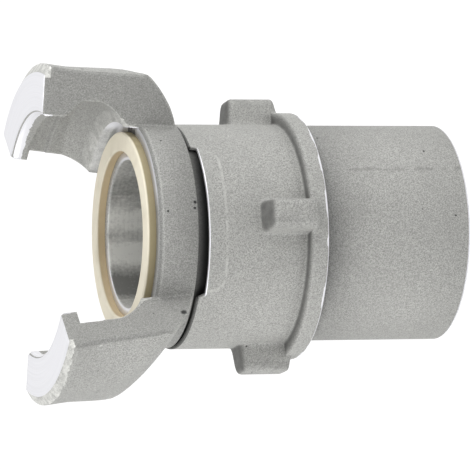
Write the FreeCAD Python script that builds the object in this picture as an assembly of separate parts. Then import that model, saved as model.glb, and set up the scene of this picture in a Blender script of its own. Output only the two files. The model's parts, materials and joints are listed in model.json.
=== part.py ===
import FreeCAD, Part
import math
import os

# Quarter turn fire hose coupling, one half.
# It stands on the end of its tail: the axis is +Z, the claws are at the top, and the origin is
# the centre of the tail's end face. The two claws lie on +Y and -Y. Millimetres throughout.

# Waterway, threaded tail, hub and flange: each radius is the one inside it and a wall or a step
WATERWAY_R = 25.0
THREAD_STEP = 3.33
TAIL_WALL = 8.32
HUB_STEP = 1.35
FLANGE_OVERHANG = 3.3
FLANGE_FRONT_CHAMFER = 1.5
TAIL_LENGTH = 51.25
FLANGE_LENGTH = 13.2
TAIL_THREAD_LENGTH = 26.0
TAIL_MOUTH_CHAMFER = 1.6
TAIL_RIM_CHAMFER = 0.35

# Seal, and the groove in the flange's face that holds it
SEAL_LEDGE = 2.9
SEAL_WIDTH = 6.4
SEAL_DEPTH = 4.1
SEAL_STAND = 2.9
SEAL_SIDE_CLEARANCE = 0.12
SEAL_EDGE_CHAMFER = 0.4

# Claws: a hooked section turned about the axis, cut to a sector
CLAW_REACH = 32.1
CLAW_WALL = 10.3
CLAW_DRAFT = 0.6
CLAW_TIP_FLARE = 1.0
CLAW_TIP_FLARE_LENGTH = 10.0
CLAW_TIP_BEVEL = 2.2
CLAW_TIP_BEVEL_RADIAL = 3.4
CLAW_HALF_ANGLE = 31.75
CLAW_SIDE_FLARE = 9.0
CLAW_EDGE_CHAMFER = 0.8
LIP_FLANGE_GAP = 1.9
LIP_CHAMFER = 1.2
LIP_THIN = 5.6
CAM_RISE = 2.2
CAM_OVERCUT = 0.25
CAM_RUN_OUT_ANGLE = 14.0
STOP_ANGLE = 9.0
HOOK_GROOVE_DEPTH = 5.4
SLOPE_HEIGHT = 8.4
SLOPE_HOLLOW_RUN = 0.62
SLOPE_HOLLOW_RISE = 0.40
SEAT_INSET = 0.9
SEAT_HEIGHT = 4.5

# Back of each claw: a slope down to the flange, rounded at both ends and slightly crowned crosswise
BACK_SLOPE_RISE = 5.0
BACK_SLOPE_ANGLE = 47.3
BACK_ROUND = 25.0
BACK_FOOT_ROUND = 30.0
BACK_FOOT_SINK = 0.2
BACK_CROWN = 210.0

# Lock ring, which hangs on the hub by its loose fit
RING_HUB_GAP = 0.4
RING_DROP = 1.05
RING_DROP_ANGLE = -108.25
RING_TURN = -8.25
RING_LENGTH = 43.1
RING_REAR_GAP = 0.6
RING_FRONT_GAP = 1.25
RING_WALL = 1.2
COLLAR_HEIGHT = 3.95
COLLAR_LENGTH = 6.0
COLLAR_FRONT_CHAMFER = 0.9
COLLAR_REAR_CHAMFER = 0.45
NOTCH_DEPTH = 2.8
NOTCH_ANGLE = 83.0
LUG_COUNT = 4
LUG_HEIGHT = 9.05
LUG_WIDTH = 11.0
LUG_LENGTH = 15.9
LUG_DRAFT = 0.45
LUG_CORNER_CHAMFER = 1.6
LUG_TIP_CHAMFER = 1.1
LUG_IN_COLLAR = 1.5

# Snap ring of square wire that keeps the lock ring on the hub
WIRE_SIZE = 3.0
WIRE_GAP_ANGLE = 14.0
WIRE_SEAT_CLEARANCE = 0.1
WIRE_GROOVE_DEPTH = 1.0
WIRE_RING_CLEARANCE = 0.35
WIRE_FROM_COLLAR_REAR = 2.95

# Radii that follow, from the waterway outwards
TAIL_THREAD_R = WATERWAY_R + THREAD_STEP
TAIL_R = TAIL_THREAD_R + TAIL_WALL
HUB_R = TAIL_R - HUB_STEP
FLANGE_R = HUB_R + FLANGE_OVERHANG
SEAL_INNER_R = WATERWAY_R + SEAL_LEDGE
SEAL_OUTER_R = SEAL_INNER_R + SEAL_WIDTH
CLAW_SEAT_R = FLANGE_R - SEAT_INSET
LIP_INNER_R = FLANGE_R + LIP_FLANGE_GAP
HOOK_GROOVE_R = LIP_INNER_R + HOOK_GROOVE_DEPTH
CLAW_OUTER_R = HOOK_GROOVE_R + CLAW_WALL
CLAW_ROOT_R = CLAW_OUTER_R - CLAW_DRAFT
CLAW_TIP_R = CLAW_OUTER_R + CLAW_TIP_FLARE
RING_BORE_R = HUB_R + RING_DROP + RING_HUB_GAP
RING_BARREL_R = RING_BORE_R + RING_WALL
RING_COLLAR_R = RING_BARREL_R + COLLAR_HEIGHT
LUG_TIP_R = RING_BARREL_R + LUG_HEIGHT
WIRE_GROOVE_R = HUB_R - WIRE_GROOVE_DEPTH
WIRE_INNER_R = WIRE_GROOVE_R + WIRE_SEAT_CLEARANCE
WIRE_OUTER_R = WIRE_INNER_R + WIRE_SIZE

# Heights that follow, from the tail's end face to the claw tips
HUB_REAR_Z = TAIL_LENGTH
RING_REAR_Z = HUB_REAR_Z + RING_REAR_GAP
COLLAR_FRONT_Z = RING_REAR_Z + COLLAR_LENGTH
WIRE_Z = RING_REAR_Z + WIRE_FROM_COLLAR_REAR
RING_FRONT_Z = RING_REAR_Z + RING_LENGTH
FLANGE_REAR_Z = RING_FRONT_Z + RING_FRONT_GAP
FLANGE_FRONT_Z = FLANGE_REAR_Z + FLANGE_LENGTH
SEAL_FLOOR_Z = FLANGE_FRONT_Z - SEAL_DEPTH
SEAL_FRONT_Z = FLANGE_FRONT_Z + SEAL_STAND
CLAW_SEAT_TOP_Z = FLANGE_FRONT_Z + SEAT_HEIGHT
HOOK_GROOVE_FLOOR_Z = CLAW_SEAT_TOP_Z + SLOPE_HEIGHT
CLAW_TIP_Z = FLANGE_FRONT_Z + CLAW_REACH
LIP_REAR_Z = CLAW_TIP_Z - LIP_THIN

# How far a cutting tool runs past the surface it cuts, and how near counts as touching
PAST = 1.0
TOUCH = 0.05

Z_AXIS = FreeCAD.Vector(0, 0, 1)
ORIGIN = FreeCAD.Vector(0, 0, 0)


def at(r, z):
    """A point of a turned profile, at radius r and height z."""
    return FreeCAD.Vector(r, 0, z)


def turned(edges, angle=360.0):
    """The solid that a closed profile sweeps about the axis."""
    face = Part.Face(Part.Wire(edges))
    return face.revolve(ORIGIN, Z_AXIS, angle)


def lines(points):
    """Straight edges through a run of points."""
    return [Part.makeLine(a, b) for a, b in zip(points[:-1], points[1:])]


def arc(start, middle, end):
    return Part.Arc(start, middle, end).toShape()


def rounded(start, end, centre):
    """An arc from start to end about centre."""
    radius = start.distanceToPoint(centre)
    outward = (start + end) * 0.5 - centre
    outward.normalize()
    return arc(start, centre + outward * radius, end)


def rotated(shape, angle):
    copy = shape.copy()
    copy.rotate(ORIGIN, Z_AXIS, angle)
    return copy


def hub_and_flange():
    """Tail, hub and flange turned in one piece, with the bore left solid."""
    return turned(lines([
        at(0, 0),
        at(TAIL_R - TAIL_RIM_CHAMFER, 0),
        at(TAIL_R, TAIL_RIM_CHAMFER),
        at(TAIL_R, HUB_REAR_Z),
        at(HUB_R, HUB_REAR_Z),
        at(HUB_R, FLANGE_REAR_Z),
        at(FLANGE_R, FLANGE_REAR_Z),
        at(FLANGE_R, FLANGE_FRONT_Z - FLANGE_FRONT_CHAMFER),
        at(FLANGE_R - FLANGE_FRONT_CHAMFER, FLANGE_FRONT_Z),
        at(0, FLANGE_FRONT_Z),
        at(0, 0),
    ]))


def hook_section():
    """The claws' section as cast: seat, slope, hook groove, lip with a 45 degree corner, outer face."""
    cast_lip_z = LIP_REAR_Z - CAM_RISE
    slope_start = at(CLAW_SEAT_R, CLAW_SEAT_TOP_Z)
    slope_end = at(HOOK_GROOVE_R, HOOK_GROOVE_FLOOR_Z)
    run = HOOK_GROOVE_R - CLAW_SEAT_R
    rise = HOOK_GROOVE_FLOOR_Z - CLAW_SEAT_TOP_Z
    hollow = at(CLAW_SEAT_R + run * SLOPE_HOLLOW_RUN, CLAW_SEAT_TOP_Z + rise * SLOPE_HOLLOW_RISE)
    edges = lines([
        at(SEAL_OUTER_R, FLANGE_REAR_Z),
        at(CLAW_ROOT_R, FLANGE_REAR_Z),
        at(CLAW_ROOT_R, CLAW_SEAT_TOP_Z),
        at(CLAW_OUTER_R, CLAW_TIP_Z - CLAW_TIP_FLARE_LENGTH),
        at(CLAW_TIP_R, CLAW_TIP_Z - CLAW_TIP_BEVEL),
        at(CLAW_TIP_R - CLAW_TIP_BEVEL_RADIAL, CLAW_TIP_Z),
        at(LIP_INNER_R + LIP_CHAMFER, CLAW_TIP_Z),
        at(LIP_INNER_R, CLAW_TIP_Z - LIP_CHAMFER),
        at(LIP_INNER_R, cast_lip_z),
        at(HOOK_GROOVE_R, cast_lip_z - (HOOK_GROOVE_R - LIP_INNER_R)),
        slope_end,
    ])
    edges.append(arc(slope_end, hollow, slope_start))
    edges += lines([
        slope_start,
        at(CLAW_SEAT_R, FLANGE_FRONT_Z),
        at(SEAL_OUTER_R, FLANGE_FRONT_Z),
        at(SEAL_OUTER_R, FLANGE_REAR_Z),
    ])
    return turned(edges)


def sector_outline(z, near, far):
    """The claw's plan at height z: two flat sides that open towards the flange."""
    slope = math.tan(math.radians(CLAW_HALF_ANGLE))
    flare = (CLAW_TIP_Z - z) * math.tan(math.radians(CLAW_SIDE_FLARE))
    near_half = near * slope + flare
    far_half = far * slope + flare
    points = [
        FreeCAD.Vector(-near_half, near, z),
        FreeCAD.Vector(near_half, near, z),
        FreeCAD.Vector(far_half, far, z),
        FreeCAD.Vector(-far_half, far, z),
    ]
    return Part.makePolygon(points + points[:1])


def claw_sector():
    """The wedge of space that one claw fills, seen along the axis."""
    near = SEAL_OUTER_R / 2
    far = CLAW_TIP_R * 1.25
    low = sector_outline(FLANGE_REAR_Z, near, far)
    high = sector_outline(CLAW_TIP_Z + PAST, near, far)
    return Part.makeLoft([low, high], True, True)


def behind_claw():
    """What is cut away behind a claw: the space below its sloping, rounded back."""
    angle = math.radians(BACK_SLOPE_ANGLE)
    wall_y = CLAW_ROOT_R + CLAW_DRAFT / 3
    corner_z = FLANGE_FRONT_Z + BACK_SLOPE_RISE
    tangent = BACK_ROUND * math.tan(angle / 2)
    foot_centre_z = FLANGE_REAR_Z - BACK_FOOT_SINK + BACK_FOOT_ROUND
    foot_z = foot_centre_z - BACK_FOOT_ROUND * math.sin(angle)
    foot_y = wall_y - (corner_z - foot_z) * math.tan(angle)
    foot_centre_y = foot_y - BACK_FOOT_ROUND * math.cos(angle)
    below_z = FLANGE_REAR_Z - BACK_ROUND
    beyond_y = wall_y + BACK_ROUND

    top = FreeCAD.Vector(0, wall_y, corner_z + tangent)
    slope_start = FreeCAD.Vector(0, wall_y - tangent * math.sin(angle), corner_z - tangent * math.cos(angle))
    slope_end = FreeCAD.Vector(0, foot_y, foot_z)
    heel = FreeCAD.Vector(0, foot_centre_y, foot_centre_z - BACK_FOOT_ROUND)
    edges = [
        rounded(top, slope_start, FreeCAD.Vector(0, wall_y - BACK_ROUND, top.z)),
        Part.makeLine(slope_start, slope_end),
        rounded(slope_end, heel, FreeCAD.Vector(0, foot_centre_y, foot_centre_z)),
    ]
    edges += lines([
        heel,
        FreeCAD.Vector(0, foot_centre_y, below_z),
        FreeCAD.Vector(0, beyond_y, below_z),
        FreeCAD.Vector(0, beyond_y, top.z),
        top,
    ])
    face = Part.Face(Part.Wire(edges))
    crown_axis = FreeCAD.Vector(0, wall_y - BACK_CROWN, 0)
    half_sweep = math.degrees(math.asin(CLAW_TIP_R / BACK_CROWN))
    face.rotate(crown_axis, Z_AXIS, -half_sweep)
    return face.revolve(crown_axis, Z_AXIS, 2 * half_sweep)


def cam_cutter():
    """What the mill takes off the lip's rear: its top climbs along a helix, away from the stop."""
    sweep_angle = 2 * CLAW_HALF_ANGLE - STOP_ANGLE + CAM_RUN_OUT_ANGLE
    pitch = CAM_RISE * 360.0 / (2 * CLAW_HALF_ANGLE)
    start_z = LIP_REAR_Z - CAM_RISE + pitch * STOP_ANGLE / 360.0
    depth = HOOK_GROOVE_R - LIP_INNER_R + CAM_RISE + CAM_OVERCUT
    inner = LIP_INNER_R - 3 * PAST
    outer = HOOK_GROOVE_R + CAM_OVERCUT
    spine = Part.Wire(Part.makeHelix(pitch, pitch * sweep_angle / 360.0, outer).Edges)
    section = Part.makePolygon([
        at(inner, -depth),
        at(outer, -depth),
        at(outer, 0),
        at(inner, 0),
        at(inner, -depth),
    ])
    cutter = spine.makePipeShell([section], True, True)
    cutter.translate(FreeCAD.Vector(0, 0, start_z))
    return rotated(cutter, 90.0 - CLAW_HALF_ANGLE + STOP_ANGLE)


def outer_side_edge(edge):
    """The long outer edges along a claw's two sides, from the flange to the tip's bevel."""
    points = edge.discretize(5)
    side = math.tan(math.radians(CLAW_HALF_ANGLE))
    on_side = all(abs(p.x) > abs(p.y) * side - TOUCH for p in points)
    on_wall = all(math.hypot(p.x, p.y) > CLAW_ROOT_R - CLAW_WALL / 2 for p in points)
    below_bevel = all(p.z < CLAW_TIP_Z - CLAW_TIP_BEVEL + TOUCH for p in points)
    return on_side and on_wall and below_bevel


def claw():
    """One claw, on +Y."""
    shape = hook_section().common(claw_sector())
    shape = shape.makeChamfer(CLAW_EDGE_CHAMFER, [edge for edge in shape.Edges if outer_side_edge(edge)])
    shape = shape.cut(behind_claw())
    return shape.cut(cam_cutter()).removeSplitter()


def body():
    one = claw()
    shape = hub_and_flange().fuse([one, rotated(one, 180.0)])
    inner = SEAL_INNER_R - SEAL_SIDE_CLEARANCE
    outer = SEAL_OUTER_R + SEAL_SIDE_CLEARANCE
    seal_groove = turned(lines([
        at(inner, SEAL_FLOOR_Z),
        at(outer, SEAL_FLOOR_Z),
        at(outer, FLANGE_FRONT_Z + PAST),
        at(inner, FLANGE_FRONT_Z + PAST),
        at(inner, SEAL_FLOOR_Z),
    ]))
    bore = turned(lines([
        at(0, -PAST),
        at(TAIL_THREAD_R + TAIL_MOUTH_CHAMFER + PAST, -PAST),
        at(TAIL_THREAD_R, TAIL_MOUTH_CHAMFER),
        at(TAIL_THREAD_R, TAIL_THREAD_LENGTH),
        at(WATERWAY_R, TAIL_THREAD_LENGTH + TAIL_THREAD_R - WATERWAY_R),
        at(WATERWAY_R, FLANGE_FRONT_Z + PAST),
        at(0, FLANGE_FRONT_Z + PAST),
        at(0, -PAST),
    ]))
    half = WIRE_SIZE / 2 + WIRE_SEAT_CLEARANCE
    wire_groove = turned(lines([
        at(WIRE_GROOVE_R, WIRE_Z - half),
        at(HUB_R + PAST, WIRE_Z - half),
        at(HUB_R + PAST, WIRE_Z + half),
        at(WIRE_GROOVE_R, WIRE_Z + half),
        at(WIRE_GROOVE_R, WIRE_Z - half),
    ]))
    return shape.cut([seal_groove, bore, wire_groove]).removeSplitter()


def seal():
    """Square rubber ring, pressed into the flange's groove and standing proud of it."""
    edge = SEAL_EDGE_CHAMFER
    return turned(lines([
        at(SEAL_INNER_R, SEAL_FLOOR_Z),
        at(SEAL_OUTER_R, SEAL_FLOOR_Z),
        at(SEAL_OUTER_R, SEAL_FRONT_Z - edge),
        at(SEAL_OUTER_R - edge, SEAL_FRONT_Z),
        at(SEAL_INNER_R + edge, SEAL_FRONT_Z),
        at(SEAL_INNER_R, SEAL_FRONT_Z - edge),
        at(SEAL_INNER_R, SEAL_FLOOR_Z),
    ]))


def ring_blank():
    """Barrel and collar, turned, with the bore left solid."""
    front = COLLAR_FRONT_CHAMFER
    rear = COLLAR_REAR_CHAMFER
    return turned(lines([
        at(0, RING_REAR_Z),
        at(RING_COLLAR_R - rear, RING_REAR_Z),
        at(RING_COLLAR_R, RING_REAR_Z + rear),
        at(RING_COLLAR_R, COLLAR_FRONT_Z - front),
        at(RING_COLLAR_R - front, COLLAR_FRONT_Z),
        at(RING_BARREL_R, COLLAR_FRONT_Z),
        at(RING_BARREL_R, RING_FRONT_Z),
        at(0, RING_FRONT_Z),
        at(0, RING_REAR_Z),
    ]))


def ring_inside():
    """What is bored out of the ring: its running bore, and the groove that clears the snap ring."""
    half = WIRE_SIZE / 2 + WIRE_RING_CLEARANCE
    groove_r = WIRE_OUTER_R + RING_DROP + WIRE_RING_CLEARANCE
    return turned(lines([
        at(0, RING_REAR_Z - PAST),
        at(RING_BORE_R, RING_REAR_Z - PAST),
        at(RING_BORE_R, WIRE_Z - half),
        at(groove_r, WIRE_Z - half),
        at(groove_r, WIRE_Z + half),
        at(RING_BORE_R, WIRE_Z + half),
        at(RING_BORE_R, RING_FRONT_Z + PAST),
        at(0, RING_FRONT_Z + PAST),
        at(0, RING_REAR_Z - PAST),
    ]))


def lug():
    """A block on the barrel that runs back into the collar, narrower at its tip."""
    foot_r = (RING_BORE_R + RING_BARREL_R) / 2
    low_z = COLLAR_FRONT_Z - LUG_IN_COLLAR
    high_z = COLLAR_FRONT_Z + LUG_LENGTH

    def outline(radius, inset):
        half = LUG_WIDTH / 2 - inset
        points = [
            FreeCAD.Vector(radius, -half, low_z + inset),
            FreeCAD.Vector(radius, half, low_z + inset),
            FreeCAD.Vector(radius, half, high_z - inset),
            FreeCAD.Vector(radius, -half, high_z - inset),
        ]
        return Part.makePolygon(points + points[:1])

    block = Part.makeLoft([outline(foot_r, -LUG_DRAFT), outline(LUG_TIP_R, LUG_DRAFT)], True, True)
    corners = [e for e in block.Edges if abs(e.Vertexes[0].X - e.Vertexes[1].X) > TOUCH]
    block = block.makeChamfer(LUG_CORNER_CHAMFER, corners)
    tip = [e for e in block.Edges if e.BoundBox.XMin > LUG_TIP_R - TOUCH]
    return block.makeChamfer(LUG_TIP_CHAMFER, tip)


def notch():
    """A sector cut into the ring's front rim, between two of the lugs."""
    floor_z = RING_FRONT_Z - NOTCH_DEPTH
    sector = turned(lines([
        at(RING_BORE_R - 2 * PAST, floor_z),
        at(RING_BARREL_R + 2 * PAST, floor_z),
        at(RING_BARREL_R + 2 * PAST, RING_FRONT_Z + PAST),
        at(RING_BORE_R - 2 * PAST, RING_FRONT_Z + PAST),
        at(RING_BORE_R - 2 * PAST, floor_z),
    ]), NOTCH_ANGLE)
    return rotated(sector, -NOTCH_ANGLE / 2)


def lock_ring():
    step = 360.0 / LUG_COUNT
    shape = ring_blank().fuse([rotated(lug(), step * i) for i in range(LUG_COUNT)])
    shape = shape.cut([ring_inside(), notch(), rotated(notch(), 180.0)]).removeSplitter()
    shape = rotated(shape, RING_TURN)
    drop = math.radians(RING_DROP_ANGLE)
    shape.translate(FreeCAD.Vector(RING_DROP * math.cos(drop), RING_DROP * math.sin(drop), 0))
    return shape


def retaining_wire():
    """Split ring of square wire, sprung into the hub's groove, its gap at the rear of the view."""
    low = WIRE_Z - WIRE_SIZE / 2
    high = WIRE_Z + WIRE_SIZE / 2
    shape = turned(lines([
        at(WIRE_INNER_R, low),
        at(WIRE_OUTER_R, low),
        at(WIRE_OUTER_R, high),
        at(WIRE_INNER_R, high),
        at(WIRE_INNER_R, low),
    ]), 360.0 - WIRE_GAP_ANGLE)
    return rotated(shape, WIRE_GAP_ANGLE / 2)


def main():
    os.makedirs("parts", exist_ok=True)
    nodes = {
        "body": body(),
        "lock_ring": lock_ring(),
        "seal": seal(),
        "retaining_wire": retaining_wire(),
    }
    for name, shape in nodes.items():
        shape.exportStep("parts/" + name + ".step")
        box = shape.BoundBox
        print(name, "solids", len(shape.Solids), "valid", shape.isValid(), "volume", round(shape.Volume, 1),
              "box", round(box.XMin, 2), round(box.XMax, 2), round(box.YMin, 2), round(box.YMax, 2),
              round(box.ZMin, 2), round(box.ZMax, 2))


main()
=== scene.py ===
import json
import math

import bmesh
import bpy
from mathutils import Matrix, Vector
from mathutils.bvhtree import BVHTree


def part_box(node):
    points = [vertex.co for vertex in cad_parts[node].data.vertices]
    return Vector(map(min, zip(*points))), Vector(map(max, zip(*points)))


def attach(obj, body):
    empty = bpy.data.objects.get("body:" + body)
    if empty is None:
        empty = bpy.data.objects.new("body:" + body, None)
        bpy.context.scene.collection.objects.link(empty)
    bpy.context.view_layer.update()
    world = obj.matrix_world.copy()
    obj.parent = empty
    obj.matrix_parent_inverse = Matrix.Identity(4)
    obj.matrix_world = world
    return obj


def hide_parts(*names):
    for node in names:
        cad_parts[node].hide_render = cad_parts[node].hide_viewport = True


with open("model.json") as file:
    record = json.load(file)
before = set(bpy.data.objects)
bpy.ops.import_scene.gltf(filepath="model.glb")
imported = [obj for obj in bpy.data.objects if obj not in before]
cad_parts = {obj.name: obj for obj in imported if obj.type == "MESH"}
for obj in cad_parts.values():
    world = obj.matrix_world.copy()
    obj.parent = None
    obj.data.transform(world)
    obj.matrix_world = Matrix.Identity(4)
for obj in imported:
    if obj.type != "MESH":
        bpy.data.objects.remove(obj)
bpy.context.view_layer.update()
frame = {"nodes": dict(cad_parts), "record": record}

nodes = frame["nodes"]
scene = bpy.context.scene
scene.view_settings.view_transform = "Standard"

MM = 0.001


def box_mm(node):
    """A node's lowest and highest corner, in millimetres."""
    low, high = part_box(node)
    return [v / MM for v in low], [v / MM for v in high]


def stand(name, data):
    """Puts a new object into the scene, at the origin and unturned."""
    obj = bpy.data.objects.new(name, data)
    scene.collection.objects.link(obj)
    return obj


def use(obj, material):
    obj.data.materials.clear()
    obj.data.materials.append(material)


def share_of(value):
    """Keeps a number between 0 and 1."""
    return min(1.0, max(0.0, value))


# Places along the axis that the frame gives, and radii of the turned faces, in millimetres

RING_PLACE = [v / MM for v in frame["record"]["behaviour"]["joints"][0]["pos_m"]]
RING_CENTRE = (RING_PLACE[0], RING_PLACE[1], 0.0)
RING_TURN = math.radians(-8.25)
TIP_Z = box_mm("body")[1][2]
RING_REAR_Z = box_mm("lock_ring")[0][2]
RING_FRONT_Z = box_mm("lock_ring")[1][2]
SEAL_TOP_Z = box_mm("seal")[1][2]
SEAL_STAND = 2.9
FLANGE_LENGTH = 13.2
FLANGE_FACE_Z = SEAL_TOP_Z - SEAL_STAND
FLANGE_REAR_Z = FLANGE_FACE_Z - FLANGE_LENGTH
FLANGE_R = 38.6
FLANGE_CHAMFER = 1.45
TAIL_R = 36.65
TAIL_THREAD_R = 28.33
TAIL_THREAD_END = 26.0
HUB_R = 35.3
SEAT_R = 37.7
SEAT_HEIGHT = 4.4
SEAL_R = 34.2
SEAL_MIDDLE_R = 31.0
BORE_R = 25.0
LIP_R = 40.5
LIP_TURNED = 3.6
TIP_R = 57.2
TIP_BEVEL = 2.3
TIP_BEVEL_WIDTH = 3.8

# Ring casting, in millimetres, and notch ends in degrees

RING_BORE = 36.75
RING_BARREL = 37.95
RING_COLLAR = 41.9
WIRE_GROOVE = 38.8
COLLAR_FRONT_Z = RING_REAR_Z + 6.0
LUG_COUNT = 4
LUG_STEP = 360.0 / LUG_COUNT
LUG_TOP = 47.0
LUG_HALF_WIDTH = 5.5
LUG_FRONT_Z = COLLAR_FRONT_Z + 15.9
LUG_REAR_Z = COLLAR_FRONT_Z - 2.5
LUG_CORNER = 2.6
LUG_WALL = ((-1.0, 0.0), (-0.5, 0.015), (-0.15, 0.06), (0.15, 0.25), (0.5, 0.60), (0.8, 0.79),
            (1.2, 0.90), (1.8, 0.965), (2.6, 0.99), (3.4, 1.0))
NOTCH_DEPTH = 2.8
NOTCH_HALF = 41.5
NOTCH_RAMPS = (1.2, 0.6)
NOTCH_FADE = 7.0
SMOOTH_WITHIN = math.radians(50.0)

# How far a finish reaches past the face that it belongs to

CLOSE = 0.2
LOOSE = 0.3


# Node expressions

class Sock:
    """A node's value that adds Math nodes when it is used in an expression."""

    def __init__(self, owner, socket):
        self.owner = owner
        self.socket = socket

    def __add__(self, other):
        return self.owner.math("ADD", self, other)

    def __radd__(self, other):
        return self.owner.math("ADD", other, self)

    def __sub__(self, other):
        return self.owner.math("SUBTRACT", self, other)

    def __rsub__(self, other):
        return self.owner.math("SUBTRACT", other, self)

    def __mul__(self, other):
        return self.owner.math("MULTIPLY", self, other)

    def __rmul__(self, other):
        return self.owner.math("MULTIPLY", other, self)

    def __truediv__(self, other):
        return self.owner.math("DIVIDE", self, other)

    def __rtruediv__(self, other):
        return self.owner.math("DIVIDE", other, self)

    def __gt__(self, other):
        return self.owner.math("GREATER_THAN", self, other)

    def __lt__(self, other):
        return self.owner.math("LESS_THAN", self, other)

    def __or__(self, other):
        """The higher of two masks, so one or the other."""
        return self.owner.math("MAXIMUM", self, other)

    def __abs__(self):
        return self.owner.math("ABSOLUTE", self)

    def between(self, low, high):
        return (self > low) * (self < high)

    def eased(self, low, high):
        """0 at low and 1 at high, smooth between."""
        return self.owner.node("ShaderNodeMapRange", {"interpolation_type": "SMOOTHSTEP"}, {
            "Value": self, "From Min": low, "From Max": high,
        })["Result"]


class Nodes:
    """A node tree under construction."""

    def __init__(self, tree):
        self.tree = tree
        tree.nodes.clear()

    def node(self, kind, settings=None, inputs=None):
        """Adds a node: its settings first, then the values or links of its sockets."""
        made = self.tree.nodes.new(kind)
        for key, value in (settings or {}).items():
            setattr(made, key, value)
        for key, value in (inputs or {}).items():
            if isinstance(value, Sock):
                self.tree.links.new(value.socket, made.inputs[key])
            else:
                made.inputs[key].default_value = value
        return {s.name: Sock(self, s) for s in reversed(made.outputs) if s.enabled}

    def math(self, operation, *values):
        return self.node("ShaderNodeMath", {"operation": operation}, dict(enumerate(values)))["Value"]

    def seen(self):
        """1 for rays that show the background: straight from the camera, mirrored or through glass."""
        path = self.node("ShaderNodeLightPath")
        return path["Is Camera Ray"] | path["Is Glossy Ray"] | path["Is Transmission Ray"]


class Paint(Nodes):
    """One procedural material, measured in millimetres from a centre."""

    MIX_SHARE, MIX_FIRST, MIX_SECOND = 0, 6, 7      # a Mix node's sockets for colours

    def __init__(self, name, centre=(0.0, 0.0, 0.0)):
        self.material = bpy.data.materials.new(name)
        self.material.use_nodes = True
        super().__init__(self.material.node_tree)
        self.where = self.node("ShaderNodeMapping", {}, {
            "Vector": self.node("ShaderNodeTexCoord")["Object"],
            "Location": tuple(-c for c in centre),
            "Scale": (1.0 / MM, 1.0 / MM, 1.0 / MM),
        })["Vector"]
        split = self.node("ShaderNodeSeparateXYZ", {}, {"Vector": self.where})
        self.x, self.y, self.z = split["X"], split["Y"], split["Z"]
        self.radius = self.math("SQRT", self.x * self.x + self.y * self.y)

    def noise(self, scale, detail=2.0, roughness=0.5, where=None):
        return self.node("ShaderNodeTexNoise", {}, {
            "Vector": where or self.where, "Scale": scale, "Detail": detail, "Roughness": roughness,
        })["Fac"]

    def place(self, x, y, z):
        return self.node("ShaderNodeCombineXYZ", {}, {"X": x, "Y": y, "Z": z})["Vector"]

    def turning(self, pitch):
        """Fine lines that run round the axis, as a lathe tool leaves them."""
        return self.noise(1.0, 2.0, 0.6, self.place(self.radius / pitch, self.z / pitch, self.x * 0.02))

    def blend(self, amount, first, second):
        """Mixes two colours."""
        return self.node("ShaderNodeMix", {"data_type": "RGBA"}, {
            self.MIX_SHARE: amount, self.MIX_FIRST: first, self.MIX_SECOND: second,
        })["Result"]

    def facing(self, part):
        """One part of the surface's direction."""
        direction = self.node("ShaderNodeNewGeometry")["Normal"]
        return self.node("ShaderNodeSeparateXYZ", {}, {"Vector": direction})[part]

    def near(self, spot, size):
        """1 at a spot on the piece and 0 beyond its size."""
        gap = self.node("ShaderNodeVectorMath", {"operation": "DISTANCE"}, {0: self.where, 1: spot})["Value"]
        return 1.0 - gap.eased(size * 0.45, size)

    def rounded(self, radius):
        """The surface's direction as if its edges were rounded."""
        return self.node("ShaderNodeBevel", {"samples": 8}, {"Radius": radius * MM})["Normal"]

    def at_edge(self, soft):
        """How far the rounded direction leaves the true one: 0 on a face, more at an edge."""
        hard = self.node("ShaderNodeNewGeometry")["Normal"]
        return 1.0 - self.node("ShaderNodeVectorMath", {"operation": "DOT_PRODUCT"}, {0: soft, 1: hard})["Value"]

    def crease(self, reach):
        """How closed in a place is, from 0 in the open to 1 in a deep corner."""
        return 1.0 - self.node("ShaderNodeAmbientOcclusion", {"samples": 6, "only_local": True}, {
            "Distance": reach * MM,
        })["AO"]

    def bump(self, height, strength, depth, normal):
        return self.node("ShaderNodeBump", {}, {
            "Height": height, "Strength": strength, "Distance": depth * MM, "Normal": normal,
        })["Normal"]

    def cover(self, surface):
        self.node("ShaderNodeOutputMaterial", {}, {"Surface": surface})
        return self.material

    def finish(self, **inputs):
        return self.cover(self.node("ShaderNodeBsdfPrincipled", {}, {
            name.replace("_", " "): value for name, value in inputs.items()
        })["BSDF"])


def grey(level):
    """The cast metal's colour, a grey that leans a little to yellow."""
    return (level, level, level * 0.955, 1.0)


def machined(level):
    """Freshly turned metal, a shade cooler than the cast skin."""
    return (level * 0.965, level * 0.965, level, 1.0)


# Sand cast aluminium with turned faces

CAST_LEVEL = 0.36


def scattered_pores(paint):
    """Small open pores, one in about every fourteenth cell."""
    cell = paint.node("ShaderNodeTexVoronoi", {}, {"Vector": paint.where, "Scale": 0.22})
    chosen = paint.node("ShaderNodeSeparateColor", {}, {"Color": cell["Color"]})["Red"] > 0.93
    return (1.0 - cell["Distance"].eased(0.05, 0.11)) * chosen


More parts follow.
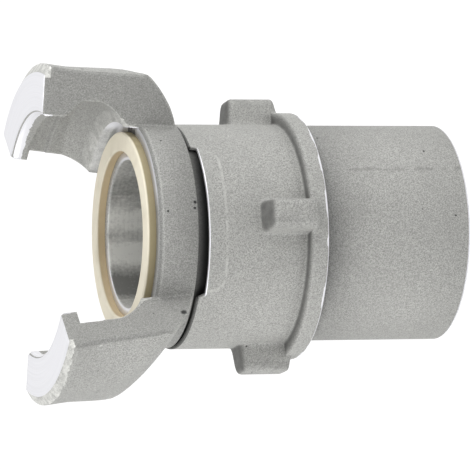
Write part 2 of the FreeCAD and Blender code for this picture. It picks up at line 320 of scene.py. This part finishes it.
def cast_aluminium(paint, turned, shadow_dark, painted_shade_and_marks, edge_round, crease_shade_reach, sawn=0.0, pits=(), honed_and_glare=None, painted_highlight=0.0):
    """Grey sandy skin, bright where the masks say that a tool has been over it."""
    grain = paint.noise(2.0, 3.0, 0.75)
    fine = paint.noise(4.5, 1.0, 0.5)
    cloud = paint.noise(0.07, 3.0, 0.5)
    blotch = paint.noise(0.45, 2.0, 0.5)
    sand = grain * 0.6 + fine * 0.4
    lathe = paint.turning(0.30)
    pore = scattered_pores(paint)
    for spot, size in pits:
        pore = pore | paint.near(spot, size)
    soft = paint.rounded(edge_round)
    closed = paint.crease(crease_shade_reach).eased(0.18, 0.75)
    worn = paint.at_edge(soft).eased(0.01, 0.14) * (1.0 - closed) * (blotch * 0.5 + grain * 0.5).eased(0.36, 0.56)

    skin = paint.blend(sand.eased(0.36, 0.64), grey(CAST_LEVEL * 0.62), grey(CAST_LEVEL * 1.42))
    skin = paint.blend((cloud * 0.6 + blotch * 0.4).eased(0.35, 0.65) * 0.22, skin, grey(CAST_LEVEL * 0.78))
    # painted shade from the shade mask, together with the darker flash line and lug patches
    skin = paint.blend(painted_shade_and_marks, skin, grey(CAST_LEVEL * 0.30))
    # painted highlight along the ring's relief outline
    skin = paint.blend(painted_highlight * 0.40, skin, grey(CAST_LEVEL * 1.7))
    skin = paint.blend(worn * 0.60, skin, grey(0.66))
    skin = paint.blend(pore * 0.95, skin, grey(0.02))
    bright = paint.blend(lathe.eased(0.3, 0.7), machined(0.80), machined(0.85))
    rough_cut = paint.blend((sand * 0.6 + blotch * 0.4).eased(0.40, 0.60), grey(CAST_LEVEL * 1.15), grey(0.70))
    colour = paint.blend(turned, paint.blend(sawn, skin, rough_cut), bright)
    tooled = (turned | sawn * 0.4) * (1.0 - shadow_dark)
    # painted reflection: the bore takes the streak's lightness, which holds painted glare and shade bands
    if honed_and_glare is not None:
        inside, streak = honed_and_glare
        colour = paint.blend(inside, colour, paint.blend(streak, grey(0.25), grey(0.98)))
        tooled = tooled * (1.0 - inside * 0.85)
    # painted shade: the colour goes dark in corners and creases, within the crease shade reach
    colour = paint.blend(closed * 0.60, colour, grey(0.04))
    # painted shadow: nearly black where the shadow mask says, and the metal looks less tooled there
    colour = paint.blend(shadow_dark, colour, grey(0.02))
    height = (sand - pore * 1.5) * (1.0 - turned) + lathe * 0.08 * turned
    return paint.finish(
        Base_Color=colour,
        Roughness=0.58 + grain * 0.12 - tooled * (0.30 - lathe * 0.14),
        Metallic=0.28 + tooled * 0.50 - shadow_dark * 0.25,
        Normal=paint.bump(height, 0.50, 0.35, soft),
    )


# Painted glare and shade bands along the honed bore, where the lamps' reflections would fall: place round the wall in
# degrees, half width, change in lightness

BORE_LIGHTNESS = 0.55
BORE_GLARE_BANDS = ((-58, 18, -0.28), (-29, 13, 0.42), (-3, 14, 0.50), (27, 22, -0.62))

# Open pores and nicks on the body: place and size

BODY_PITS = (
    ((29.0, -36.7, 101.5), 1.3),
    ((38.6, -1.8, 96.9), 0.7),
    ((38.4, -3.8, 97.1), 0.6),
    ((38.3, -4.8, 106.4), 0.5),
    ((27.9, 48.7, 128.0), 0.7),
)

# Painted shadow spots on the flange face beside the seal, where a gap would fall in shade, and the flash line along
# the tail

SEAL_GAP_SHADOWS = (((13.5, 31.8, FLANGE_FACE_Z), 2.6), ((16.0, 30.7, FLANGE_FACE_Z), 2.8), ((18.6, 29.2, FLANGE_FACE_Z), 2.4))
TAIL_SEAM_Y = 11.0


def bore_streaks_and_glare(paint):
    """Lightness of the honed bore: noise streaks from the honing, with painted glare and shade bands."""
    wall = paint.math("ARCTAN2", paint.y * -1.0, paint.x * -1.0) * (180.0 / math.pi)
    wander = paint.noise(1.0, 3.0, 0.65, paint.place(wall * 0.35, paint.z * 0.16, paint.radius * 0.1)) - 0.5
    streak = BORE_LIGHTNESS
    for middle, half, change in BORE_GLARE_BANDS:
        aside = abs(wall + wander * 9.0 - middle)
        streak = (1.0 - aside.eased(half * 0.25, half)) * change + streak
    return streak + wander * 0.4 + (paint.noise(0.9, 3.0, 0.6) - 0.5) * 0.7 + (paint.turning(0.9) - 0.5) * 0.35


def turned_faces(paint, bore, wander):
    """Where the body has been on the lathe."""
    z, radius = paint.z, paint.radius
    tips = z > TIP_Z - LOOSE
    lips = (radius < LIP_R + 0.5) * (z + wander * 1.5 > TIP_Z - LIP_TURNED)
    seats = (radius < SEAT_R + 0.25) * z.between(FLANGE_FACE_Z - LOOSE, FLANGE_FACE_Z + SEAT_HEIGHT)
    seats_open_end = (paint.x * paint.y).eased(-150.0, 150.0)
    face = (radius < FLANGE_R - FLANGE_CHAMFER) * z.between(FLANGE_FACE_Z - LOOSE, FLANGE_FACE_Z + LOOSE)
    mouth = (z < 0.6) | (radius < TAIL_THREAD_R + 1.8) * (z < TAIL_THREAD_END + 6.0)
    return tips | lips | seats * (0.15 + seats_open_end * 0.80) | face * 0.12 | bore | mouth


def sawn_faces(paint, wander):
    """Rough bright cuts: the bevels of the tips, and the foot of the slope inside each claw."""
    z, radius = paint.z, paint.radius
    narrowing = (paint.x | 0.0) * (paint.y < 0.0) * 0.02
    bevels = (radius > TIP_R - TIP_BEVEL_WIDTH) * (z + wander * 1.2 > TIP_Z - TIP_BEVEL + narrowing)
    foot = z + (paint.noise(0.2, 1.0) - 0.5) * 4.0
    off_sides = abs(paint.facing("X")) < 0.75
    low_slope = (z > FLANGE_FACE_Z + 1.0) * (1.0 - foot.eased(FLANGE_FACE_Z + 4.5, FLANGE_FACE_Z + 7.5))
    return bevels | off_sides * (radius < SEAT_R + 4.0) * low_slope * 0.7


def painted_gap_shadows(paint):
    """Painted shadow under the ring, on the step at its rear, on the outer edge of the flange face and in spots beside
    the seal.
    """
    z, radius = paint.z, paint.radius
    under_ring = (radius < HUB_R + 0.6) * z.between(RING_REAR_Z, FLANGE_REAR_Z + LOOSE)
    to_notch = 1.0 - z.eased(RING_FRONT_Z - 2.6, RING_FRONT_Z + 1.0)
    lighter_end = paint.y.eased(5.0, 34.0)
    # painted shadow on the hub seen through the notch: darkest near the flange, lighter towards the lighter end
    under_ring_shadow = 0.55 - lighter_end * 0.35 + to_notch * (0.43 - lighter_end * 0.05)
    corner_line = z.eased(FLANGE_REAR_Z - 0.5, FLANGE_REAR_Z - CLOSE) * 0.92
    step = (radius < TAIL_R - 0.1) * z.between(RING_REAR_Z - 1.2, RING_REAR_Z + 0.5)
    face_edge = radius.between(SEAL_R, FLANGE_R - 0.5) * z.between(FLANGE_FACE_Z - 1.7, FLANGE_FACE_Z + CLOSE)
    shadow_dark = under_ring * (under_ring_shadow | corner_line) | step * 0.85 | face_edge * (paint.x > 12.0) * 0.30
    for spot, size in SEAL_GAP_SHADOWS:
        shadow_dark = shadow_dark | paint.near(spot, size) * 0.9
    return shadow_dark


def painted_shade_and_seam(paint, wander):
    """Painted shade on the claw sides, the flange rim and the tail, the lower claw's outside darker near its tip, and
    the darker flash line along the tail.
    """
    z, radius = paint.z, paint.radius
    sides = abs(paint.facing("X")).eased(0.70, 0.80) * (radius > FLANGE_R + LOOSE)
    rim = radius.between(FLANGE_R - 1.2, FLANGE_R + CLOSE) * (z > FLANGE_REAR_Z - CLOSE)
    lower_tip = (radius > TIP_R - 5.0) * z.eased(TIP_Z - 34.0, TIP_Z - 8.0) * (paint.y < 0.0)
    on_tail = z < RING_REAR_Z
    seam = (1.0 - abs(paint.y - TAIL_SEAM_Y + wander * 0.6).eased(0.2, 1.5)) * on_tail * (paint.x > 0.0)
    seam = seam * paint.noise(0.25, 2.0).eased(0.42, 0.6)
    return sides * 0.30 | seam * 0.36 | rim * 0.13 | lower_tip * 0.12 | on_tail * 0.10


def body_finish():
    paint = Paint("cast_body")
    wander = paint.noise(0.5, 2.0) - 0.5
    bore = (paint.radius < BORE_R + CLOSE) * (paint.z < FLANGE_FACE_Z - CLOSE)
    return cast_aluminium(
        paint,
        turned=turned_faces(paint, bore, wander),
        sawn=sawn_faces(paint, wander),
        shadow_dark=painted_gap_shadows(paint),
        painted_shade_and_marks=painted_shade_and_seam(paint, wander),
        pits=BODY_PITS, edge_round=1.4, crease_shade_reach=3.5,
        honed_and_glare=(bore, bore_streaks_and_glare(paint)))


def ring_finish():
    paint = Paint("cast_ring", RING_CENTRE)
    z, radius = paint.z, paint.radius
    cos, sin = math.cos(RING_TURN), math.sin(RING_TURN)
    outward = abs(paint.x * cos + paint.y * sin)
    across = abs(paint.y * cos - paint.x * sin)
    patch = paint.noise(0.16, 2.0, 0.5)
    on_barrel = radius < RING_BARREL + LOOSE

    rear_rim = (z < RING_REAR_Z + 0.35 + patch.eased(0.45, 0.62) * 0.45) * (radius > RING_BORE - 0.75)
    in_notch = outward > radius * math.cos(math.radians(NOTCH_HALF - 0.5))
    notch_lip = in_notch * z.between(RING_FRONT_Z - NOTCH_DEPTH - 0.35, RING_FRONT_Z - NOTCH_DEPTH + 0.1) * on_barrel
    notch_lip = notch_lip * (1.0 - paint.y.eased(6.0, 27.0) * 0.75)

    # painted highlight: a lighter line along the outline of a cast relief on the barrel, which the mesh does not have
    past_x = (across - 19.5) | 0.0
    past_z = (RING_FRONT_Z - 5.0 - z) | 0.0
    border = abs(paint.math("SQRT", past_x * past_x + past_z * past_z) - 4.0)
    relief_highlight = (1.0 - border.eased(0.15, 0.65)) * paint.noise(0.3).eased(0.35, 0.6) * on_barrel

    front_faces = paint.facing("Z").eased(0.10, 0.95) * (z < RING_FRONT_Z - 8.0)
    on_collar = radius.eased(RING_BARREL + LOOSE, RING_COLLAR - 0.4) * (z < COLLAR_FRONT_Z + 1.5)
    front_shade = front_faces * (1.0 - on_collar * 0.64) * (0.6 + paint.noise(0.4, 2.0) * 0.5)
    lug_tops = (radius > LUG_TOP - 3.0) * patch.eased(0.40, 0.60) * 0.16
    return cast_aluminium(
        paint,
        turned=rear_rim | notch_lip | (radius < RING_BORE + CLOSE),
        # painted shadow on the front rim, which faces the flange across a narrow gap
        shadow_dark=(z > RING_FRONT_Z - 0.7) * 0.8,
        painted_shade_and_marks=front_shade | lug_tops,
        painted_highlight=relief_highlight, edge_round=0.5, crease_shade_reach=7.0)


# Rubber and spring steel

def rubber_finish():
    paint = Paint("cream_rubber")
    soft = paint.rounded(0.5)
    face = paint.z.eased(SEAL_TOP_Z - 0.9, SEAL_TOP_Z - 0.2)
    tone = paint.noise(0.30, 3.0)
    smudge = paint.noise(0.09, 2.0).eased(0.5, 0.75)
    # painted shade: the walls are darker than the top, and the outer wall, down in the groove beside the flange,
    # darkest
    outer_wall = paint.blend(tone, (0.29, 0.245, 0.14, 1.0), (0.37, 0.315, 0.19, 1.0))
    inner_wall = paint.blend(tone, (0.58, 0.46, 0.28, 1.0), (0.68, 0.55, 0.35, 1.0))
    wall = paint.blend(paint.radius < SEAL_MIDDLE_R, outer_wall, inner_wall)
    top = paint.blend(tone, (0.81, 0.75, 0.60, 1.0), (0.88, 0.82, 0.67, 1.0))
    top = paint.blend(smudge * 0.35, top, (0.52, 0.46, 0.33, 1.0))
    skin = paint.noise(2.2, 3.0) + paint.turning(0.8) * 0.4
    return paint.finish(Base_Color=paint.blend(face, wall, top), Roughness=0.55 + tone * 0.15,
                        Normal=paint.bump(skin, 0.15, 0.2, soft))


def wire_finish():
    paint = Paint("spring_wire")
    drawn = paint.noise(1.5, 2.0)
    return paint.finish(Base_Color=paint.blend(drawn, grey(0.40), grey(0.58)), Roughness=0.28 + drawn * 0.2,
                        Metallic=1.0, Normal=paint.bump(drawn, 0.1, 0.1, paint.rounded(0.4)))


# The lock ring: one casting whose lugs flow out of the barrel and into the collar

def stepped(value, table):
    """Straight-line reading of a table of pairs."""
    if value <= table[0][0]:
        return table[0][1]
    for (a, low), (b, high) in zip(table, table[1:]):
        if value <= b:
            return low + (high - low) * (value - a) / (b - a)
    return table[-1][1]


def notch_dip(turn):
    """How far the front rim is cut back at an angle in degrees from the notch's middle."""
    low_ramp, high_ramp = NOTCH_RAMPS
    into = min((turn + NOTCH_HALF + low_ramp) / (2 * low_ramp), (NOTCH_HALF + high_ramp - turn) / (2 * high_ramp))
    return NOTCH_DEPTH * share_of(into)


def lug_share(across, z):
    """0 beside a lug, 1 on its top, from the distance to its rounded outline."""
    middle = (LUG_FRONT_Z + LUG_REAR_Z) / 2
    half_length = (LUG_FRONT_Z - LUG_REAR_Z) / 2
    past_side = abs(across) - LUG_HALF_WIDTH + LUG_CORNER
    past_end = abs(z - middle) - half_length + LUG_CORNER
    outside = math.hypot(max(past_side, 0.0), max(past_end, 0.0)) + min(max(past_side, past_end), 0.0) - LUG_CORNER
    return stepped(-outside, LUG_WALL)


def ring_rows():
    """The ring's section: outside from front to rear, then the rear face and the inside."""
    f, c, r = RING_FRONT_Z, COLLAR_FRONT_Z, RING_REAR_Z
    outside = [(RING_BARREL - 0.35, f), (RING_BARREL - 0.1, f - 0.08), (RING_BARREL, f - 0.3)]
    outside += [(RING_BARREL, f - d) for d in (1.5, 3.4, 5.4, 6.9, 11.0, 15.0, 18.0)]
    outside += [(RING_BARREL, LUG_FRONT_Z - d) for d, share in LUG_WALL]
    outside += [(RING_BARREL, c + d) for d in (11.0, 9.0, 7.0, 5.0, 3.3, 2.0)]
    foot = ((0.0, 0.95), (0.12, 0.5), (0.42, 0.18), (0.9, 0.05), (1.7, 0.02))
    outside += [(RING_BARREL + a, c + b) for a, b in foot]
    bead = ((1.3, 0.0), (0.72, 0.08), (0.28, 0.36), (0.06, 0.75), (0.0, 1.15))
    outside += [(RING_COLLAR - a, c - b) for a, b in bead]
    outside += [(RING_COLLAR, c - b) for b in (1.5, 1.85, 2.2, 2.5, 2.8, 3.1, 3.45, 3.8, 4.3, 4.9)]
    outside += [(RING_COLLAR - a, r + b) for a, b in ((0.0, 0.5), (0.1, 0.2), (0.3, 0.03), (0.6, 0.0))]
    inside = [(39.6, r), (RING_BORE + 0.3, r), (RING_BORE, r + 0.3), (RING_BORE, r + 1.1), (WIRE_GROOVE, r + 1.1),
              (WIRE_GROOVE, r + 4.8), (RING_BORE, r + 4.8)]
    inside += [(RING_BORE, z) for z in (r + 8.0, r + 18.0, r + 28.0, f - 6.9, f - 3.4, f - 0.25)]
    inside.append((RING_BORE + 0.15, f))
    return outside, inside


def ring_turns():
    """Angles of the ring's columns in degrees, close together at the lugs' walls and the notch ends."""
    turns = set()
    for lug in range(LUG_COUNT):
        middle = lug * LUG_STEP
        for d, share in LUG_WALL:
            across = math.degrees(math.asin((LUG_HALF_WIDTH - d) / RING_BARREL))
            turns.update((middle + across, middle - across))
        turns.update(middle + offset for offset in (-2.5, 0.0, 2.5))
        turns.update(middle + 13.0 + 64.0 * k / 26 for k in range(27))
    for middle in (0.0, 180.0):
        for end in (-NOTCH_HALF, NOTCH_HALF):
            turns.update(middle + end + offset for offset in (-1.2, -0.6, -0.2, 0.2, 0.6, 1.2))
    ordered = sorted(turn % 360.0 for turn in turns)
    return [a for a, b in zip(ordered, ordered[1:] + [ordered[0] + 360.0]) if b - a > 0.15]


def ring_column(turn, rows, lug_rows):
    """One column of the ring's points, in metres: the lugs rise along their own middle line."""
    lug_turn = math.radians(round(turn / LUG_STEP) * LUG_STEP)
    from_lug = math.radians(turn) - lug_turn
    dip = notch_dip((turn + 90.0) % 180.0 - 90.0)
    low = RING_FRONT_Z - NOTCH_FADE
    column = []
    for row, (radius, z) in enumerate(rows):
        x, y = radius * math.cos(from_lug), radius * math.sin(from_lug)
        if row < lug_rows:
            x += (LUG_TOP - x) * lug_share(y, z)
        z -= dip * share_of((z - low) / (RING_FRONT_Z - 0.3 - low))
        point = Matrix.Rotation(lug_turn + RING_TURN, 3, "Z") @ Vector((x, y, z))
        column.append((point + Vector(RING_CENTRE)) * MM)
    return column


def ring_mesh():
    outside, inside = ring_rows()
    shape = bmesh.new()
    columns = [[shape.verts.new(point) for point in ring_column(turn, outside + inside, len(outside))]
               for turn in ring_turns()]
    for left, right in zip(columns, columns[1:] + columns[:1]):
        for k in range(len(left)):
            n = (k + 1) % len(left)
            shape.faces.new((left[k], left[n], right[n], right[k]))
    bmesh.ops.recalc_face_normals(shape, faces=shape.faces)
    return smooth_mesh("ring_casting", shape, SMOOTH_WITHIN)


def smooth_mesh(name, shape, within):
    """Makes a mesh of the shape, smooth except where faces meet at more than an angle."""
    mesh = bpy.data.meshes.new(name)
    shape.to_mesh(mesh)
    shape.free()
    mesh.shade_smooth()
    mesh.set_sharp_from_angle(angle=within)
    return mesh


ring = stand("ring_casting", ring_mesh())
use(ring, ring_finish())
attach(ring, "ring")
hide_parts("lock_ring")


# The body: the CAD casting with the hard line across each claw's back worn soft

UPPER, LOWER = 1, -1                    # the claw on the +Y side and the one on the -Y side
WEAR_SPREAD = {UPPER: 1.4, LOWER: 2.6}  # how far along the axis the wear evens out, in millimetres
WEAR_DEPTH = 8.0
KEPT_TIP = 5.0
TIP_EASE = 4.0
BACK_START = 0.4
BACK_STEP = 0.5
TURN_STEP = 1.5
TURN_END = 30.0
CLAW_TURN = 45.0
OUTSIDE_R = 70.0
FACE_SIZE = 1.7
SPLIT_ROUNDS = 7
BODY_SMOOTH_WITHIN = math.radians(28.0)


def back_profile(tree, side, turn):
    """Outside radius of one claw at steps along the axis, at an angle from the claw's middle."""
    out = Vector((math.sin(math.radians(turn)), side * math.cos(math.radians(turn)), 0.0))
    steps = int((TIP_Z - FLANGE_REAR_Z - 2 * BACK_START) / BACK_STEP)
    profile = []
    for i in range(steps + 1):
        height = Vector((0.0, 0.0, (FLANGE_REAR_Z + BACK_START + i * BACK_STEP) * MM))
        hit = tree.ray_cast(out * OUTSIDE_R * MM + height, -out)[0]
        profile.append(math.hypot(hit.x, hit.y) / MM if hit else FLANGE_R)
    return profile


def worn_depth(profile, spread):
    """How far wear takes the back down at each step: only where the profile stands proud of its own average."""
    depth = []
    for i, here in enumerate(profile):
        weights = [math.exp(-0.5 * ((i - j) * BACK_STEP / spread) ** 2) for j in range(len(profile))]
        average = sum(w * r for w, r in zip(weights, profile)) / sum(weights)
        to_tip = (len(profile) - 1 - i) * BACK_STEP
        depth.append(max(0.0, here - average) * share_of((to_tip - KEPT_TIP) / TIP_EASE))
    return depth


def grid_value(grid, turn, z):
    """Reading between the points of a grid of turn and height."""
    column = min(max((turn + TURN_END) / TURN_STEP, 0.0), len(grid) - 1.001)
    row = min(max((z - FLANGE_REAR_Z - BACK_START) / BACK_STEP, 0.0), len(grid[0]) - 1.001)
    c, r = int(column), int(row)
    u, v = column - c, row - r
    low = grid[c][r] * (1 - v) + grid[c][r + 1] * v
    high = grid[c + 1][r] * (1 - v) + grid[c + 1][r + 1] * v
    return low * (1 - u) + high * u


def on_claw(vert):
    return vert.co.z > FLANGE_REAR_Z * MM and vert.co.xy.length > (FLANGE_R - LOOSE) * MM


def split_claw_faces(shape):
    """Divides the claws' long edges until all are short enough to bend."""
    for split in range(SPLIT_ROUNDS):
        long_edges = [edge for edge in shape.edges if edge.calc_length() > FACE_SIZE * MM
                      and on_claw(edge.verts[0]) and on_claw(edge.verts[1])]
        if not long_edges:
            break
        bmesh.ops.subdivide_edges(shape, edges=long_edges, cuts=1)
        bmesh.ops.triangulate(shape, faces=[face for face in shape.faces if len(face.verts) > 3])


def wear_backs(shape, profiles, depths):
    """Moves the claws' backs towards the axis, less and less with depth under the surface."""
    for vert in shape.verts:
        side = UPPER if vert.co.y > 0 else LOWER
        turn = math.degrees(math.atan2(vert.co.x, side * vert.co.y))
        if not on_claw(vert) or abs(turn) > CLAW_TURN:
            continue
        radius, z = vert.co.xy.length / MM, vert.co.z / MM
        under = grid_value(profiles[side], turn, z) - radius
        moved = grid_value(depths[side], turn, z) * share_of(1.0 - under / WEAR_DEPTH)
        vert.co.x *= 1.0 - moved / radius
        vert.co.y *= 1.0 - moved / radius


def body_mesh():
    shape = bmesh.new()
    shape.from_mesh(nodes["body"].data)
    bmesh.ops.remove_doubles(shape, verts=shape.verts, dist=0.002 * MM)
    tree = BVHTree.FromBMesh(shape)
    turns = [-TURN_END + i * TURN_STEP for i in range(int(2 * TURN_END / TURN_STEP) + 1)]
    profiles = {side: [back_profile(tree, side, turn) for turn in turns] for side in (UPPER, LOWER)}
    depths = {side: [worn_depth(profile, WEAR_SPREAD[side]) for profile in profiles[side]]
              for side in (UPPER, LOWER)}
    split_claw_faces(shape)
    wear_backs(shape, profiles, depths)
    return smooth_mesh("body_casting", shape, BODY_SMOOTH_WITHIN)


body_material = body_finish()
body = stand("body_casting", body_mesh())
use(body, body_material)
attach(body, "coupling")
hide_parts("body")

use(nodes["lock_ring"], ring.data.materials[0])
use(nodes["seal"], rubber_finish())
use(nodes["retaining_wire"], wire_finish())


# The pipe thread in the tail: a helix swept by a four-sided crest

THREAD_PITCH = 2.309
THREAD_CREST = 1.0
THREAD_LOW_Z = 2.6
THREAD_SIZES = {
    "Radius": TAIL_THREAD_R + 0.25,
    "Length": TAIL_THREAD_END - THREAD_LOW_Z - 1.2,
    "Pitch": THREAD_PITCH,
    "Crest": THREAD_CREST,
}


def thread_rule(material):
    tree = bpy.data.node_groups.new("pipe_thread", "GeometryNodeTree")
    for name in THREAD_SIZES:
        tree.interface.new_socket(name, in_out="INPUT", socket_type="NodeSocketFloat")
    tree.interface.new_socket("Geometry", in_out="OUTPUT", socket_type="NodeSocketGeometry")
    rule = Nodes(tree)
    sizes = rule.node("NodeGroupInput")
    helix = rule.node("GeometryNodeCurveSpiral", {}, {
        "Resolution": 96, "Rotations": sizes["Length"] / sizes["Pitch"], "Height": sizes["Length"],
        "Start Radius": sizes["Radius"], "End Radius": sizes["Radius"],
    })["Curve"]
    upright = rule.node("GeometryNodeSetCurveNormal", {"mode": "Z_UP"}, {"Curve": helix})["Curve"]
    crest = rule.node("GeometryNodeCurvePrimitiveCircle", {}, {"Resolution": 4, "Radius": sizes["Crest"]})["Curve"]
    swept = rule.node("GeometryNodeCurveToMesh", {}, {
        "Curve": upright, "Profile Curve": crest, "Fill Caps": True,
    })["Mesh"]
    real = rule.node("GeometryNodeRealizeInstances", {}, {"Geometry": swept})["Geometry"]
    dressed = rule.node("GeometryNodeSetMaterial", {}, {"Geometry": real, "Material": material})["Geometry"]
    rule.node("NodeGroupOutput", {}, {"Geometry": dressed})
    return tree


def thread_mesh(material):
    rule = thread_rule(material)
    holder = stand("thread_holder", bpy.data.meshes.new("thread_holder"))
    grow = holder.modifiers.new("thread", "NODES")
    grow.node_group = rule
    for item in rule.interface.items_tree:
        if item.in_out == "INPUT":
            grow[item.identifier] = THREAD_SIZES[item.name] * MM
    grown = holder.evaluated_get(bpy.context.evaluated_depsgraph_get())
    mesh = bpy.data.meshes.new_from_object(grown)
    holder.modifiers.remove(grow)
    bpy.data.objects.remove(holder)
    mesh.name = "tail_thread"
    mesh.transform(Matrix.Translation((0.0, 0.0, THREAD_LOW_Z * MM)))
    return mesh


thread = stand("tail_thread", thread_mesh(body_material))
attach(thread, "coupling")


# Camera: the axis lies level in the picture with the claws to the left

FOCAL_PX = 4280.0
FRAME_PX = 470.0
SENSOR = 36.0
VIEW_TILT = math.radians(17.59)
VIEW_ROLL = math.radians(0.291)
DISTANCE = 1.4515
AXIS_LIFT = 0.000535
AIM_Z = 0.0714
NEAR_SIDE = math.radians(-18.25)

toward_claws = Vector((0.0, 0.0, 1.0))
near = Vector((math.cos(NEAR_SIDE), math.sin(NEAR_SIDE), 0.0))
above = Vector((-math.sin(NEAR_SIDE), math.cos(NEAR_SIDE), 0.0))
right = -math.cos(VIEW_TILT) * toward_claws + math.sin(VIEW_TILT) * near
back = math.sin(VIEW_TILT) * toward_claws + math.cos(VIEW_TILT) * near
cam_x = math.cos(VIEW_ROLL) * right - math.sin(VIEW_ROLL) * above
cam_y = math.sin(VIEW_ROLL) * right + math.cos(VIEW_ROLL) * above
spot = Vector((0.0, 0.0, AIM_Z)) - AXIS_LIFT * cam_y + DISTANCE * back
camera = stand("camera", bpy.data.cameras.new("camera"))
camera.data.sensor_fit = "HORIZONTAL"
camera.data.sensor_width = SENSOR
camera.data.lens = SENSOR * FOCAL_PX / FRAME_PX
camera.data.clip_start = 0.05
camera.matrix_world = Matrix.Translation(spot) @ Matrix((cam_x, cam_y, back)).transposed().to_4x4()
scene.camera = camera


# Lights, world and floor

LAMP_POWER = 4.6
LAMP_AIM = Vector((0.0, 0.0, 0.08))
WORLD_LEVEL = 0.53
FLOOR_REACH = 4.0
FLOOR_GLOW = 1.15
FLOOR_GLOW_SHARE = 0.82
WHITE = (1.0, 1.0, 1.0, 1.0)
PALE = (0.9, 0.9, 0.9, 1.0)


def lamp(name, toward, distance, size, power):
    obj = stand(name, bpy.data.lights.new(name, "AREA"))
    obj.data.shape = "DISK"
    obj.data.size = size
    obj.data.energy = power
    obj.location = LAMP_AIM + toward.normalized() * distance
    obj.rotation_euler = (LAMP_AIM - obj.location).to_track_quat("-Z", "Y").to_euler()


lamp("lamp_upper", above + near * 0.25 + toward_claws * 0.35, 0.9, 0.7, LAMP_POWER)
lamp("lamp_lower", -above + near * 0.30 + toward_claws * 0.35, 0.9, 0.7, LAMP_POWER)
lamp("lamp_overhead", toward_claws + near * 0.5, 1.0, 0.6, LAMP_POWER * 0.54)


def studio_world():
    world = bpy.data.worlds.new("studio")
    world.use_nodes = True
    room = Nodes(world.node_tree)
    light = room.node("ShaderNodeBackground", {}, {"Color": WHITE, "Strength": WORLD_LEVEL})["Background"]
    behind = room.node("ShaderNodeBackground", {}, {"Color": WHITE, "Strength": 1.0})["Background"]
    both = room.node("ShaderNodeMixShader", {}, {"Fac": room.seen(), 1: light, 2: behind})["Shader"]
    room.node("ShaderNodeOutputWorld", {}, {"Surface": both})
    return world


def floor_finish():
    paint = Paint("pale_floor")
    matt = paint.node("ShaderNodeBsdfDiffuse", {}, {"Color": PALE})["BSDF"]
    glow = paint.node("ShaderNodeEmission", {}, {"Strength": FLOOR_GLOW})["Emission"]
    share = paint.seen() * FLOOR_GLOW_SHARE
    return paint.cover(paint.node("ShaderNodeMixShader", {}, {"Fac": share, 1: matt, 2: glow})["Shader"])


scene.world = studio_world()

corners = [(x * FLOOR_REACH, y * FLOOR_REACH, 0.0) for x, y in ((-1, -1), (1, -1), (1, 1), (-1, 1))]
floor_mesh = bpy.data.meshes.new("floor")
floor_mesh.from_pydata(corners, [], [(0, 1, 2, 3)])
floor = stand("floor", floor_mesh)
use(floor, floor_finish())
